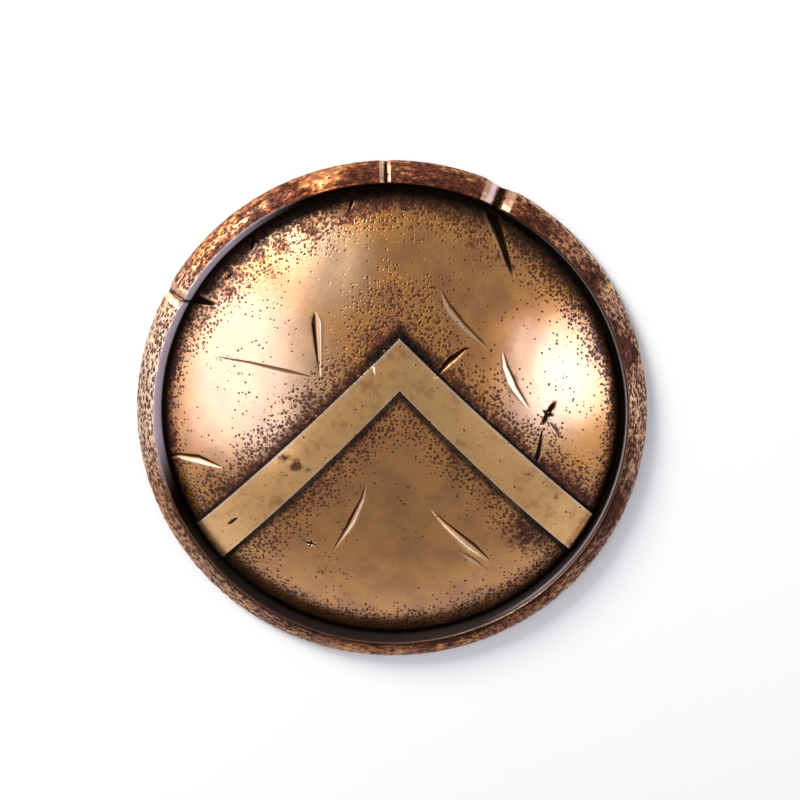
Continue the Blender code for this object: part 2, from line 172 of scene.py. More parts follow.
# Shell: battle damage
# Blades and points have struck the sheet. Each cut is a hollow along a short path, with one steep
# side darkened by dirt and painted shade, and one smooth side where the metal was thrown up, paled
# as bare metal and a painted highlight; the rim is notched as well.
# A cut: path, half width, depth, share of the path at its widest, lip, dark side, strength of its dirt
# and painted shade, reach of that darkness
CUTS = {
    "upright_gash": ([(-0.087, 0.136), (-0.085, 0.109), (-0.083, 0.085), (-0.081, 0.061)],
                     0.0054, 0.0038, 0.16, 0.0005, -1, 1.0, 0.05),
    "long_scratch": ([(-0.214, 0.080), (-0.163, 0.075), (-0.122, 0.068), (-0.087, 0.062)],
                     0.0028, 0.0008, 0.75, 0.0002, 1, 0.88, 0.70),
    "curved_slash": ([(0.0555, 0.165), (0.0665, 0.143), (0.0835, 0.122), (0.1146, 0.092)],
                     0.0044, 0.0018, 0.35, 0.0005, 1, 0.94, -0.10),
    "short_gouge": ([(0.0943, 0.0965), (0.085, 0.0945), (0.067, 0.081), (0.0488, 0.0617)],
                    0.0046, 0.0034, 0.5, 0.0003, -1, 1.0, 0.62),
    "shallow_slash": ([(0.129, 0.091), (0.133, 0.073), (0.144, 0.048), (0.161, 0.022)],
                      0.0044, 0.0010, 0.45, 0.0005, 1, 0.88, -0.25),
    "gash_below_star": ([(0.177, 0.000), (0.175, -0.018), (0.1705, -0.0445)],
                        0.0036, 0.0022, 0.8, 0.0002, -1, 1.0, 0.90),
    "below_star_dent": ([(0.1845, 0.0055), (0.194, -0.006), (0.1985, -0.018)],
                        0.0026, 0.0007, 0.5, 0.0002, 1, 0.88, 0.80),
    "crescent": ([(-0.2745, -0.0520), (-0.2570, -0.0460), (-0.2290, -0.0465), (-0.1985, -0.0550)],
                 0.0052, 0.0026, 0.58, 0.0004, 1, 0.98, 0.00),
    "left_slash": ([(-0.0277, -0.0600), (-0.0335, -0.0835), (-0.0490, -0.1175), (-0.0714, -0.1565)],
                   0.0044, 0.0020, 0.5, 0.0005, -1, 0.97, -0.05),
    "right_slash": ([(0.044, -0.0925), (0.064, -0.1160), (0.094, -0.1455), (0.1203, -0.1715)],
                    0.0060, 0.0030, 0.68, 0.0005, 1, 0.95, -0.15),
    "small_slash": ([(0.0756, -0.1495), (0.0965, -0.1650), (0.1185, -0.1845)],
                    0.0028, 0.0012, 0.5, 0.0003, 1, 0.88, -0.15),
    "puncture_tick": ([(-0.113, -0.140), (-0.095, -0.146), (-0.078, -0.153)],
                      0.0016, 0.0006, 0.5, 0.0002, 1, 0.90, 0.0),
    "upper_nick": ([(-0.044, 0.264), (-0.049, 0.245)], 0.0026, 0.0014, 0.4, 0.0001, 1, 1.0, 0.90),
    "far_left_nick": ([(-0.1595, 0.2275), (-0.163, 0.199)], 0.0026, 0.0012, 0.4, 0.0001, 1, 1.0, 0.90),
    "tip_scratch": ([(-0.050, 0.121), (-0.031, 0.108)], 0.0016, 0.0006, 0.5, 0.0003, 1, 0.80, 0.0),
    "chevron_nick": ([(-0.0265, 0.083), (-0.020, 0.076), (-0.0175, 0.065)],
                     0.0026, 0.0010, 0.3, 0.0003, -1, 0.20, -0.50),
    "right_wedge": ([(0.1125, 0.266), (0.1175, 0.243), (0.1275, 0.214), (0.1435, 0.164)],
                    0.0084, 0.0044, 0.06, 0.0002, 1, 1.0, 0.85),
    "left_wedge": ([(-0.251, 0.1475), (-0.229, 0.1440), (-0.200, 0.1380)],
                   0.0086, 0.0038, 0.08, 0.0005, -1, 1.0, 0.55),
}
# A puncture: middle, its points' bearings in degrees with their reach, depth
PUNCTURES = {
    "star": ((0.1835, 0.0150), ((58.0, 0.018), (150.0, 0.0085), (242.0, 0.017), (330.0, 0.0085)), 0.0046),
    "small": ((-0.0957, -0.1448), ((75.0, 0.0065), (165.0, 0.009), (255.0, 0.0065), (345.0, 0.009)), 0.0034),
    "left_dimple": ((-0.189, 0.171), ((45.0, 0.007), (135.0, 0.005), (225.0, 0.007), (315.0, 0.005)), 0.0012),
    "chevron_pit": ((-0.190, -0.1212), ((40.0, 0.010), (130.0, 0.004), (220.0, 0.010), (310.0, 0.004)), 0.0012),
}
# A rim notch: bearing and half spread in degrees, share of the height lost, bite, pointedness, strength
# of the painted lilac reflection on one facet
RIM_NOTCHES = (
    (65.0, 4.0, 0.42, 0.0035, 1.0, 0.55),
    (149.5, 2.0, 0.34, 0.0025, 1.6, 0.10),
    (91.3, 1.3, 0.22, 0.0012, 1.2, 0.35),
)
CUT_MARGIN = 1.45
CUT_SPLITS = 2
NOTCH_MARGIN = 1.15


def along_path(x, y, path):
    """The nearest place on a path: its share of the length, and how far to the left of it."""
    points = np.array(path)
    lengths = np.hypot(*np.diff(points, axis=0).T)
    best = np.full(np.shape(x), np.inf)
    share = np.zeros(np.shape(x))
    left = np.zeros(np.shape(x))
    travelled = 0.0
    for start, end, length in zip(points, points[1:], lengths):
        run = (end - start) / length
        along = np.clip((x - start[0]) * run[0] + (y - start[1]) * run[1], 0.0, length)
        off_x, off_y = x - start[0] - run[0] * along, y - start[1] - run[1] * along
        distance = np.hypot(off_x, off_y)
        nearer = distance < best
        best = np.where(nearer, distance, best)
        share = np.where(nearer, (travelled + along) / lengths.sum(), share)
        left = np.where(nearer, np.copysign(distance, run[0] * off_y - run[1] * off_x), left)
        travelled += length
    return share, left


def smooth(value, low, high):
    """Zero below low, one above high, and eased between."""
    share = np.clip((value - low) / (high - low), 0.0, 1.0)
    return share * share * (3.0 - 2.0 * share)


def cut_shape(x, y, cut):
    """A cut's sinking in metres, and the shares from 0 to 1 of its dark side, soiled and in painted shade, and of its
    pale side, bare metal with a painted highlight.
    """
    path, half_width, depth, widest, lip, dark_side, dirt_and_shading, reach = cut
    share, left = along_path(x, y, path)
    swell = np.clip(np.minimum(share / widest, (1.0 - share) / (1.0 - widest)), 0.0, 1.0) ** 0.6
    off = -left * dark_side / (half_width * np.maximum(swell, 0.04))
    steep = np.clip((off + 1.0) / 0.5, 0.0, 1.0)
    gentle = np.clip((1.0 - off) / 1.5, 0.0, 1.0)
    hollow = np.minimum(steep, gentle) * swell
    thrown = np.exp(-((off - 1.1) / 0.35) ** 2) * swell
    # The steep side is painted dark, partly soiled and partly painted shade; the thrown-up side is painted pale,
    # partly bare metal and partly a painted highlight.
    cut_dirt_and_shade = smooth(off, -1.15, -0.80) * (1.0 - smooth(off, reach - 0.2, reach + 0.2))
    lip_and_highlight = smooth(off, reach, reach + 0.4) * (1.0 - smooth(off, 1.1, 1.6)) * swell
    return thrown * lip - hollow * depth, cut_dirt_and_shade * dirt_and_shading * smooth(swell, 0.1, 0.4), lip_and_highlight


def puncture_shape(x, y, puncture):
    """A star-shaped hollow as a share from 0 to 1."""
    middle, points, _ = puncture
    off_x, off_y = x - middle[0], y - middle[1]
    bearing = np.degrees(np.arctan2(off_y, off_x))
    reach = np.full(np.shape(x), 0.27 * max(length for _, length in points))
    for turn, length in points:
        away = np.abs((bearing - turn + 180.0) % 360.0 - 180.0)
        reach = np.maximum(reach, length * np.clip(1.0 - away / 58.0, 0.0, 1.0) ** 1.2)
    return np.clip(1.0 - np.hypot(off_x, off_y) / reach, 0.0, 1.0)


def split_chosen(bm, chosen, cuts):
    """Finer faces where chosen says so, face by face."""
    bm.faces.ensure_lookup_table()
    edges = {edge for index in np.flatnonzero(chosen) for edge in bm.faces[index].edges}
    bmesh.ops.subdivide_edges(bm, edges=list(edges), cuts=cuts, use_grid_fill=True)


def split_damage(bm):
    """Finer faces around each cut and puncture."""
    x, y, _ = np.array([item.calc_center_median() for item in bm.faces]).T
    chosen = np.zeros(len(x), bool)
    for path, half_width, *_ in CUTS.values():
        chosen |= np.abs(along_path(x, y, path)[1]) < half_width * CUT_MARGIN
    for middle, points, _ in PUNCTURES.values():
        reach = 1.05 * max(length for _, length in points)
        chosen |= np.hypot(x - middle[0], y - middle[1]) < reach
    split_chosen(bm, chosen & (np.hypot(x, y) < DOME_RADIUS - SHEET), CUT_SPLITS)


def notch_side(x, y, turn, spread):
    """How far round from a rim notch's middle, in half spreads; positive is anticlockwise."""
    bearing = np.degrees(np.arctan2(y, x))
    return ((bearing - turn + 180.0) % 360.0 - 180.0) / spread


def split_notches(bm):
    """Finer faces on the rim's face where it is notched."""
    x, y, z = np.array([item.calc_center_median() for item in bm.faces]).T
    chosen = np.zeros(len(x), bool)
    for turn, spread, *_ in RIM_NOTCHES:
        chosen |= np.abs(notch_side(x, y, turn, spread)) < NOTCH_MARGIN
    split_chosen(bm, chosen & (np.hypot(x, y) > GROOVE_RADIUS) & (z > EDGE_Z * 0.8), 1)


split_damage(face)


# Shell: rim and back
# The rim's moulding is turned about the middle, down its face and round the flange to the inside.
def arc_points(start, end, half_turn, steps):
    """Points after start of an arc to end that bulges to the left of its chord."""
    chord = end - start
    radius = chord.length / (2.0 * math.sin(half_turn))
    normal = Vector((-chord.y, chord.x)).normalized()
    centre = (start + end) / 2.0 - normal * radius * math.cos(half_turn)
    turned = [Matrix.Rotation(-2.0 * half_turn * step / steps, 2) for step in range(1, steps + 1)]
    return [centre + turn @ (start - centre) for turn in turned]


def rim_corners():
    """Radius and height down the rim's face, from the dome's foot out to the edge."""
    crest = Vector((CREST_RADIUS, CREST_Z))
    edge = Vector((SHIELD_RADIUS, EDGE_Z))
    return [Vector((DOME_RADIUS, GROOVE_Z)), Vector((GROOVE_RADIUS, GROOVE_Z)),
            Vector((CREST_RADIUS - CREST_CORNER, CREST_Z - CREST_CORNER)), crest,
            *arc_points(crest, edge, RIM_HALF_TURN, 16)]


def inset_path(path, thickness):
    """A profile moved in by the sheet's thickness, with mitred corners."""
    normals = []
    for here, after in zip(path, path[1:]):
        run = (after - here).normalized()
        normals.append(Vector((-run.y, run.x)))
    inset = []
    for index, point in enumerate(path):
        before = normals[max(index - 1, 0)]
        after = normals[min(index, len(normals) - 1)]
        inset.append(point - (before + after) * thickness / (1.0 + before.dot(after)))
    return inset


def stepped_path(corners, step):
    """A profile with a point at each corner and about every step between them."""
    points = [corners[0]]
    for here, after in zip(corners, corners[1:]):
        count = max(1, round((after - here).length / step))
        points.extend(here.lerp(after, index / count) for index in range(1, count + 1))
    return points


def turn_profile(bm, points, segments):
    """Turns a profile full round: an eighth is spun, and laid down eight times."""
    eighth = bmesh.new()
    verts = [eighth.verts.new((point.x, 0.0, point.y)) for point in points]
    edges = [eighth.edges.new(pair) for pair in zip(verts, verts[1:])]
    bmesh.ops.spin(eighth, geom=[*verts, *edges], cent=(0.0, 0.0, 0.0), axis=(0.0, 0.0, 1.0),
                   angle=math.pi / 4.0, steps=segments // 8)
    laid = bpy.data.meshes.new("eighth")
    for _ in range(8):
        eighth.to_mesh(laid)
        bm.from_mesh(laid)
        bmesh.ops.rotate(eighth, verts=eighth.verts, cent=(0.0, 0.0, 0.0),
                         matrix=Matrix.Rotation(math.pi / 4.0, 3, "Z"))
    eighth.free()
    bpy.data.meshes.remove(laid)
    bmesh.ops.remove_doubles(bm, verts=bm.verts, dist=MERGE_REACH)


flange_outer = SHIELD_RADIUS - EDGE_ROUND
flange_inner = flange_outer - FLANGE_WIDTH
face_corners = [*rim_corners(), Vector((SHIELD_RADIUS, EDGE_ROUND)), Vector((flange_outer, 0.0))]
turn_profile(face, stepped_path(face_corners, FACE_STEP), 4 * FACE_CELLS)
split_notches(face)

inside_foot = math.sqrt(INSIDE_SPHERE ** 2 - (GROOVE_Z - SHEET - DOME_CENTRE.z) ** 2)
inside_rim = inset_path(rim_corners(), SHEET)
back_corners = [Vector((flange_outer, 0.0)), Vector((flange_inner, 0.0)),
                Vector((flange_inner, SHEET)), Vector((SHIELD_RADIUS - SHEET, SHEET)),
                *inside_rim[:0:-1], Vector((inside_foot, GROOVE_Z - SHEET))]
back = bmesh.new()
dome_grid(back, BACK_CELLS, INSIDE_SPHERE, inside_foot)
turn_profile(back, stepped_path(back_corners, BACK_STEP), 4 * BACK_CELLS)
flange_edges = [edge for edge in back.edges if edge.is_boundary]
halved = bmesh.ops.subdivide_edges(back, edges=flange_edges, cuts=1)
for vert in (item for item in halved["geom_inner"] if isinstance(item, bmesh.types.BMVert)):
    vert.co *= flange_outer / math.hypot(vert.co.x, vert.co.y)
back_mesh = bpy.data.meshes.new("back")
back.to_mesh(back_mesh)
back.free()
front_count = len(face.verts)
face.from_mesh(back_mesh)
bpy.data.meshes.remove(back_mesh)
side = face.verts.layers.int.new("side")
face.verts.ensure_lookup_table()
for vert in face.verts[front_count:]:
    vert[side] = 1
bmesh.ops.remove_doubles(face, verts=face.verts, dist=MERGE_REACH)
bmesh.ops.triangulate(face, faces=face.faces, quad_method="SHORT_EDGE", ngon_method="BEAUTY")
bmesh.ops.recalc_face_normals(face, faces=face.faces)
is_back = np.array([vert[side] for vert in face.verts], bool)
face.verts.layers.int.remove(side)
shell_mesh = bpy.data.meshes.new("worked_shell")
face.to_mesh(shell_mesh)
face.free()
BACK_WALL_INSET = 0.0014
RIM_ROUGHNESS = 0.00035


# Shell: pressing and beating
# The chevron, the cuts, the rim's notches and its rough hammering are pressed into the sheet.
def waves(x, y, wavelength, seed, count=14):
    """Uneven waves of about one wavelength, mostly between -1 and 1."""
    draw = np.random.default_rng(seed)
    total = np.zeros(x.shape)
    for turn, stretch, phase in zip(draw.uniform(0.0, 2.0 * math.pi, count),
                                    draw.uniform(0.7, 1.5, count), draw.uniform(0.0, 7.0, count)):
        pace = 2.0 * math.pi / (wavelength * stretch)
        total += np.sin((x * math.cos(turn) + y * math.sin(turn)) * pace + phase)
    return total / math.sqrt(count) / 1.3


def chevron_height(x, y, inset):
    """The chevron's rise; the inset moves both walls in, for the hollow behind it."""
    outside, inside = chevron_distances(x, y)
    steep = np.clip(1.0 - (outside + inset) / CHEVRON_STEEP_RUN, 0.0, 1.0)
    run = np.clip((inside + inset * 0.6) / CHEVRON_COVE_RUN, 0.0, 1.0)
    return CHEVRON_RISE * np.minimum(steep, (1.0 - run) ** 1.5)


places = np.empty(len(shell_mesh.vertices) * 3)
shell_mesh.vertices.foreach_get("co", places)
x, y, z = places.reshape(-1, 3).T.copy()
radius = np.maximum(np.hypot(x, y), MERGE_REACH)
bearing = np.degrees(np.arctan2(y, x))
on_dome = radius < DOME_RADIUS - MERGE_REACH
on_moulding = ~on_dome & ~is_back & (radius > CREST_RADIUS - CREST_CORNER / 2.0)
wall = ~on_dome & ~is_back & ~on_moulding

sunk = np.zeros(x.shape)
cut_dirt_and_shade = np.zeros(x.shape)
lip_and_highlight = np.zeros(x.shape)
for cut in CUTS.values():
    change, cut_dark_here, lip_and_highlight_here = cut_shape(x, y, cut)
    sunk += change
    cut_dirt_and_shade = np.maximum(cut_dirt_and_shade, cut_dark_here)
    lip_and_highlight = np.maximum(lip_and_highlight, lip_and_highlight_here)
for puncture in PUNCTURES.values():
    hollow = puncture_shape(x, y, puncture)
    sunk -= hollow * puncture[2]
    cut_dirt_and_shade = np.maximum(cut_dirt_and_shade, smooth(hollow, 0.02, 0.2))

beaten = waves(x, y, 0.080, 3) * 0.00030 + waves(x, y, 0.030, 4) * 0.00006
foot_fade = np.clip((DOME_RADIUS - radius) / CHEVRON_END_RUN, 0.0, 1.0)
pressed = chevron_height(x, y, np.where(is_back, BACK_WALL_INSET, 0.0))
z += np.where(on_dome, (pressed + sunk + beaten) * foot_fade, 0.0)

lost = np.zeros(x.shape)
bite = np.zeros(x.shape)
slot = np.zeros(x.shape)
facet = np.zeros(x.shape)
planed = np.zeros(x.shape)
for turn, spread, share, depth, pointedness, facet_reflection in RIM_NOTCHES:
    aside = notch_side(x, y, turn, spread)
    amount = np.clip(1.0 - np.abs(aside), 0.0, 1.0) ** pointedness
    lost = np.maximum(lost, share * amount)
    bite = np.maximum(bite, depth * amount)
    slot = np.maximum(slot, 1.0 - smooth(np.abs(aside + 0.08), 0.15, 0.32))
    ahead = smooth(aside, 0.20, 0.36) * (1.0 - smooth(aside, 0.85, 1.0))
    stripe = smooth(aside, 0.20, 0.30) * (1.0 - smooth(aside, 0.48, 0.66))
    astern = smooth(-aside, 0.36, 0.50) * (1.0 - smooth(-aside, 0.80, 1.0))
    # One facet of each notch gets a painted lilac reflection.
    facet = np.maximum(facet, stripe * facet_reflection)
    planed = np.maximum(planed, np.maximum(ahead, astern))
rim_share = np.clip((radius - DOME_RADIUS) / (CREST_RADIUS - DOME_RADIUS), 0.0, 1.0)
z *= np.where(on_dome, 1.0, 1.0 - lost * rim_share)
edge_share = np.clip((radius - CREST_RADIUS) / RIM_RUN, 0.0, 1.0)
hammered = np.where(is_back, 0.0, np.minimum(waves(x, y, 0.0095, 21, 24), 0.6) - 0.6)
hammered *= smooth(radius, CREST_RADIUS - 0.002, CREST_RADIUS + 0.003) * (z > EDGE_Z * 0.6)
z += np.where(on_dome, 0.0, hammered * RIM_ROUGHNESS)
bite -= hammered * RIM_ROUGHNESS
inward = np.where(on_dome, 1.0, 1.0 - bite * edge_share / radius)
x *= inward
y *= inward
shell_mesh.vertices.foreach_set("co", np.stack([x, y, z], axis=1).ravel())
shell_mesh.update()


# Shell: marks that the finish follows
# How old dirt, pitting and wear lie on the shell, along with painted shade, painted highlights and
# painted reflections, kept as numbers on the points of the mesh.
def keep_mark(mesh, name, values):
    mark = mesh.attributes.new(name, "FLOAT", "POINT")
    mark.data.foreach_set("value", np.clip(values, 0.0, 1.0).astype(np.float32))


def fading(distance, near, far):
    """One nearer than near, zero past far."""
    return 1.0 - smooth(distance, near, far)


outside, inside = chevron_distances(x, y)
on_chevron = (outside < MERGE_REACH) & (inside < MERGE_REACH)
past_outer = outside > -MERGE_REACH
past_inner = inside > -MERGE_REACH
rim_gap = DOME_RADIUS - radius
upward, rightward = np.sin(np.radians(bearing)), np.cos(np.radians(bearing))
tip_away = np.hypot(x - CHEVRON_OFFSET, y - CHEVRON_TIP)

border_width = 0.026 + 0.032 * smooth(upward, 0.1, 0.9) + 0.014 * smooth(-upward, 0.5, 0.9)
uneven = 0.010 * waves(x, y, 0.060, 33)
near_outer = past_outer * fading(outside + uneven, 0.016, 0.066)
near_inner = past_inner * fading(inside + uneven * 0.6, 0.018, 0.062) * 0.92
near_border = fading((rim_gap + uneven * 0.5) / border_width, 0.35, 1.45)
above_tip = past_outer * fading(tip_away + uneven, 0.040, 0.105) * 0.90
scattered = 0.15 + 0.15 * waves(x, y, 0.075, 31) \
    - 0.16 * fading(np.hypot(x - 0.010, (y + 0.160) * 1.2), 0.035, 0.090)
dome_pitting = np.maximum.reduce([near_outer, near_inner, near_border, above_tip, scattered])
dome_pitting = np.where(on_chevron, 0.08, dome_pitting)
smooth_rim = np.exp(-((bearing - 108.0) / 11.0) ** 2) * 0.60 + np.exp(-((bearing + 98.0) / 16.0) ** 2) * 0.35
pitting = np.where(on_dome, dome_pitting, np.where(wall, 0.0, (0.95 - smooth_rim) * (1.0 - np.maximum(slot, planed))))
keep_mark(shell_mesh, "pitting", np.where(is_back, 0.0, pitting * (1.0 - np.maximum(cut_dirt_and_shade, lip_and_highlight))))
keep_mark(shell_mesh, "moulding", np.where(on_moulding, 1.0, 0.0))

# Painted shade: a black line in the groove, bands under the rim's border at the top, at the bottom and all round, a
# dark line outside the chevron's outer brow and a wider patch of it by the tip, a dark band in the chevron's inner
# cove, and a dark band inside the crest low on the rim.
groove_shade = fading(rim_gap, 0.0034, 0.0078)
top_shade = fading(rim_gap, 0.004, 0.034) * smooth(upward, -0.05, 0.70) * 0.88
low_shade = fading(rim_gap, 0.003, 0.036) * smooth(-upward, 0.20, 0.70) * 0.72
side_shade = fading(rim_gap, 0.002, 0.016) * 0.55
brow_shade = past_outer * fading(outside, 0.0018, 0.0055)
tip_shade = past_outer * fading(outside, 0.006, 0.016) * fading(tip_away, 0.035, 0.090)
cove_shade = (inside > -0.0006) * fading(inside, 0.0055, 0.0125) * 0.90
dome_shade = np.maximum.reduce([groove_shade, top_shade, low_shade, side_shade, brow_shade, tip_shade,
                                cove_shade])
dome_shade = np.where(on_chevron, fading(rim_gap, 0.001, 0.010) * 0.8, dome_shade)
crest_shade = fading(radius, CREST_RADIUS + 0.001, CREST_RADIUS + 0.006) * smooth(-upward, 0.10, 0.50) * 0.85
shade = np.where(on_dome, dome_shade, np.where(radius < GROOVE_RADIUS, 1.0, crest_shade * on_moulding))
keep_mark(shell_mesh, "shade", shade * ~is_back)

beside_chevron = past_outer * fading(outside + uneven * 0.4, 0.004, 0.034) * 0.64
wide_dark = past_outer * fading(outside + uneven, 0.006, 0.056) * 0.44
top_dark = fading(rim_gap + uneven * 0.8, 0.006, 0.044) * smooth(upward, 0.0, 0.7) * 0.56
left_dark = fading(rim_gap + uneven * 0.4, 0.002, 0.030) * smooth(-rightward, 0.1, 0.8) * 0.66
right_dark = fading(rim_gap + uneven * 0.4, 0.002, 0.028) * smooth(rightward, 0.1, 0.8) * 0.66
low_dark = fading(rim_gap, 0.001, 0.036) * smooth(-upward, 0.3, 0.9) * 0.46
inner_dark = past_inner * fading(inside, 0.010, 0.052) * 0.42
leg_end = past_inner * fading(np.hypot(x - 0.168, y + 0.130), 0.015, 0.070) * 0.58
blotches = smooth(waves(x, y, 0.052, 51), 0.10, 0.90) * fading(rim_gap, 0.040, 0.075) \
    * smooth(upward, 0.0, 0.6) * 0.56
dome_dirt = np.maximum.reduce([beside_chevron, wide_dark, top_dark, left_dark, right_dark, low_dark,
                               inner_dark, leg_end, blotches])
dome_dirt = np.where(on_chevron, 0.12, dome_dirt)
# A stain: its middle, its reach and its strength
STAINS = (((-0.110, -0.043), 0.019, 0.74), ((-0.124, -0.035), 0.015, 0.62), ((-0.098, -0.047), 0.014, 0.60),
          ((-0.213, -0.159), 0.012, 0.54), ((0.161, -0.055), 0.008, 0.50),
          ((0.196, -0.088), 0.010, 0.54), ((-0.126, 0.208), 0.024, 0.62), ((-0.186, 0.186), 0.018, 0.60),
          ((-0.092, 0.224), 0.032, 0.62), ((-0.152, 0.196), 0.024, 0.60))
for place, reach, strength in STAINS:
    stain = fading(np.hypot(x - place[0], y - place[1]), 0.0, reach) * strength
    dome_dirt = np.maximum(dome_dirt, stain)

# The rim's inner wall is painted with light and shade: a lilac reflection on the left, where it faces the right soft
# box, a thin lit line on the right, a dim tone at the bottom, and black shade elsewhere; the notch facets and the
# crest on the left get the same painted lilac reflection.
wall_height = (radius - GROOVE_RADIUS) / RIM_WALL_RUN
left_wall = smooth(-rightward, 0.35, 0.70) * fading(-upward, 0.05, 0.35)
right_line = np.exp(-((wall_height - 0.74) / 0.13) ** 2) * smooth(rightward, 0.30, 0.70)
low_wall = smooth(-upward, 0.25, 0.75) * 0.07
wall_light = np.maximum.reduce([left_wall, right_line * 0.55, low_wall]) * smooth(wall_height, 0.0, 0.25)
lit_crest = left_wall * fading(radius, CREST_RADIUS - 0.001, CREST_RADIUS + 0.0025) * 0.7
keep_mark(shell_mesh, "painted_wall_light_and_shade", np.where(wall, 1.0, np.maximum(facet, lit_crest) * on_moulding))
keep_mark(shell_mesh, "wall_light", np.where(wall, wall_light, on_moulding * (np.maximum(facet, lit_crest) > 0.01)))
rim_edge = smooth(radius, SHIELD_RADIUS - 0.006, SHIELD_RADIUS - 0.001)
crest_side = fading(radius, CREST_RADIUS + 0.003, CREST_RADIUS + 0.011)
low_left_rim_highlight = np.exp(-((bearing + 137.0) / 26.0) ** 2)
# The rim's darkening is partly dirt and partly painted light: it is painted lighter on the left, low on the left and
# at the outer edge, where light falls, and darker round bearing 125 as painted shade.
rim_dirt_and_shading = 0.32 + 0.17 * waves(x, y, 0.070, 9) + 0.12 * smooth(rightward, 0.2, 0.9) \
    + 0.12 * crest_side - 0.20 * rim_edge - 0.20 * smooth(-rightward, 0.4, 0.9)
rim_dirt_and_shading += np.exp(-((bearing - 80.0) / 15.0) ** 2) * 0.30
rim_dirt_and_shading += np.exp(-((bearing - 125.0) / 20.0) ** 2) * 0.24 - low_left_rim_highlight * 0.10
rim_dirt_and_shading = rim_dirt_and_shading * (1.0 - planed)
grime_and_shading = np.where(on_dome, dome_dirt, np.where(wall, 0.0, rim_dirt_and_shading))
keep_mark(shell_mesh, "grime_and_shading", np.where(is_back, 0.25, grime_and_shading * (1.0 - lip_and_highlight)))
# The cuts' dark sides, the punctures and the notches' slots, darkened as dirt and painted shade.
gash = np.where(on_dome, cut_dirt_and_shade, slot * (radius > GROOVE_RADIUS))
keep_mark(shell_mesh, "gash", gash * ~is_back)
# The chevron's brow is worn pale and carries a painted highlight, and the cuts' lips are bare metal with a painted
# highlight.
brow_gap = np.minimum(np.abs(outside), np.abs(inside) + 0.0008)
brow = np.exp(-(brow_gap / 0.0016) ** 2) * (outside < 0.0006) * (inside < 0.0004)
# Painted highlights on the rim: its outer edge on the right, its right side, its left side and low on the left; the
# planed notch facets are bare metal.
left_rim_highlight = smooth(-rightward, 0.72, 0.97) * fading(-upward, -0.05, 0.45)
right_rim_highlight = smooth(rightward, 0.55, 0.95) * 0.26
rim_wear_and_highlight = np.maximum.reduce([rim_edge * smooth(rightward, 0.2, 0.8) * 0.5, right_rim_highlight,
                               left_rim_highlight * 0.60, low_left_rim_highlight * 0.26, planed * 0.30])
# Painted highlights on the dome's flanks, where the soft boxes and the window light it.
left_flank_highlight = fading(np.hypot(x + 0.155, (y - 0.055) / 1.3), 0.050, 0.125)
right_flank_highlight = fading(np.hypot(x - 0.185, (y - 0.045) / 1.3), 0.020, 0.085)
upper_flank_highlight = fading(np.hypot(x + 0.080, y - 0.190), 0.020, 0.085)
flank_highlights = np.maximum.reduce([left_flank_highlight, right_flank_highlight, upper_flank_highlight]) * (1.0 - on_chevron)
dome_wear_and_highlight = np.maximum.reduce([brow, lip_and_highlight * 0.5, flank_highlights * 0.40])
keep_mark(shell_mesh, "rubbed_and_highlight", np.where(on_dome, dome_wear_and_highlight, rim_wear_and_highlight * on_moulding))
keep_mark(shell_mesh, "chevron", np.where(on_dome & on_chevron & ~is_back, 1.0, 0.0))
keep_mark(shell_mesh, "behind", np.where(is_back, 1.0, 0.0))

RIM_DRUM = 0.165
around = np.radians(bearing)
rim_place = np.stack([RIM_DRUM * np.cos(around), RIM_DRUM * np.sin(around),
                      (radius - DOME_RADIUS) * 1.1 - z * 0.6], axis=1)
drum = shell_mesh.attributes.new("rim_place", "FLOAT_VECTOR", "POINT")
drum.data.foreach_set("vector", rim_place.astype(np.float32).ravel())
shell_mesh.shade_smooth()
shell_mesh.set_sharp_from_angle(angle=math.radians(48.0))


# Shell: antique bronze
# The bronze is gold brown, etched with pits, darkened with maroon and black patina and with painted
# shade, and then rubbed bright again on what stands up, with painted highlights on the dome's flank
# and rim and a painted lilac reflection on the rim's inner wall; a thin lacquer lies over it.
class Reading:
    """A shader value that adds a Math node for each operator used on it."""

    def __init__(self, finish, socket):
        self.finish = finish
        self.socket = socket

    def maths(self, operation, first, second):
        return self.finish.node("ShaderNodeMath", {"operation": operation}, {0: first, 1: second})

    def __add__(self, other):
        return self.maths("ADD", self, other)

    def __radd__(self, other):
        return self.maths("ADD", other, self)

    def __sub__(self, other):
        return self.maths("SUBTRACT", self, other)

    def __rsub__(self, other):
        return self.maths("SUBTRACT", other, self)

    def __mul__(self, other):
        return self.maths("MULTIPLY", self, other)

    def __rmul__(self, other):
        return self.maths("MULTIPLY", other, self)

    def at_least(self, other):
        return self.maths("MAXIMUM", self, other)


